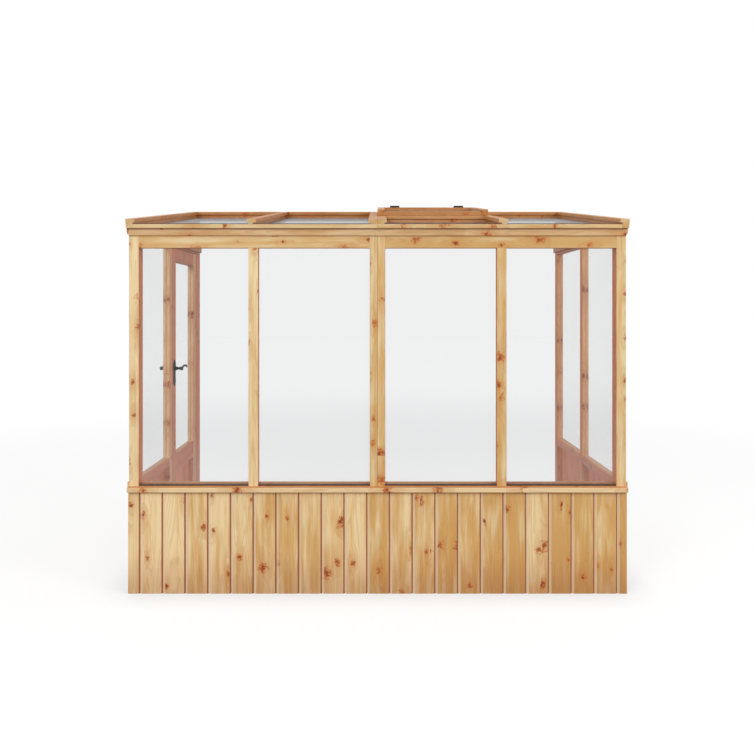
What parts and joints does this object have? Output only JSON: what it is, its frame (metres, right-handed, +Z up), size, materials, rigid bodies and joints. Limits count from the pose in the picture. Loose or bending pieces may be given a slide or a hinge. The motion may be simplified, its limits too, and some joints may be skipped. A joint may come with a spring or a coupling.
{
  "type": "lean-to greenhouse",
  "caption": "Timber lean-to greenhouse with boarded dwarf walls, glazed screens, a glazed sloping roof with a hinged vent, and a part-glazed end door.",
  "frame": {"origin": "underside of the front sole plate, at the middle of the front wall", "axes": "+X to the right seen from the garden, +Y towards the house wall, +Z up"},
  "size_m": [2.438, 1.232, 1.9966],
  "materials": {
    "frame_pine": "clear satin treatment, planed",
    "matchboard_pine": "clear satin treatment, planed",
    "trim_pine": "clear satin treatment, planed",
    "clear_glass": "clear",
    "black_iron": "satin black"
  },
  "bodies": {
    "greenhouse": {"front_sole_plate": "frame_pine", "front_corner_posts": "frame_pine", "front_centre_posts": "frame_pine", "front_mullions": "frame_pine", "front_top_rails": "frame_pine", "front_mid_rails": "frame_pine", "front_cladding": "matchboard_pine", "front_sill": "trim_pine", "front_fascia": "trim_pine", "front_panes": "clear_glass", "right_sole_plate": "frame_pine", "right_front_stile": "frame_pine", "right_mullion": "frame_pine", "right_rear_stile": "frame_pine", "right_head_rail": "frame_pine", "right_mid_rails": "frame_pine", "right_cladding": "matchboard_pine", "right_panes": "clear_glass", "right_gable_rail": "frame_pine", "right_gable_boards": "matchboard_pine", "left_sole_plate": "frame_pine", "left_front_stile": "frame_pine", "left_door_post": "frame_pine", "left_hinge_jamb": "frame_pine", "left_rear_stile": "frame_pine", "left_head_rail": "frame_pine", "left_mid_rail": "frame_pine", "left_cladding": "matchboard_pine", "left_pane": "clear_glass", "left_gable_rail": "frame_pine", "left_gable_boards": "matchboard_pine", "sill_strips": "trim_pine", "head_strips": "frame_pine", "verge_strips": "trim_pine", "verge_rafters": "frame_pine", "centre_rafters": "frame_pine", "middle_rafters": "frame_pine", "eaves_rails": "frame_pine", "rear_rails": "frame_pine", "roof_panes": "clear_glass", "vent_front_trimmer": "frame_pine", "vent_rear_trimmer": "frame_pine", "vent_hinge_rail": "frame_pine", "vent_hinge_plates": "black_iron", "door_hinge_plates": "black_iron"},
    "vent": {"vent_stiles": "frame_pine", "vent_front_rail": "frame_pine", "vent_rear_rail": "frame_pine", "vent_pane": "clear_glass", "vent_hinge_leaves": "black_iron"},
    "door": {"door_lock_stile": "frame_pine", "door_hinge_stile": "frame_pine", "door_top_rail": "frame_pine", "door_mid_rail": "frame_pine", "door_bottom_rail": "frame_pine", "door_boards": "matchboard_pine", "door_pane": "clear_glass", "door_hinge_leaves": "black_iron", "door_lock_plates": "black_iron"},
    "door_handle": {"door_levers": "black_iron"}
  },
  "joints": [
    {"name": "vent_hinge", "type": "hinge", "parent": "greenhouse", "child": "vent", "pos_m": [0.3, 0.91102, 1.99084], "axis": [-1, 0, 0], "range_deg": [0, 40]},
    {"name": "door_hinge", "type": "hinge", "parent": "greenhouse", "child": "door", "pos_m": [-1.1985, 1.0815, 0.87], "axis": [0, 0, -1], "range_deg": [0, 95]},
    {"name": "lever_turn", "type": "hinge", "parent": "door", "child": "door_handle", "pos_m": [-1.193, 0.6065, 1.025], "axis": [-1, 0, 0], "range_deg": [0, 40], "stiffness_Nm_per_rad": 0.8, "springref_deg": -28.65}
  ]
}
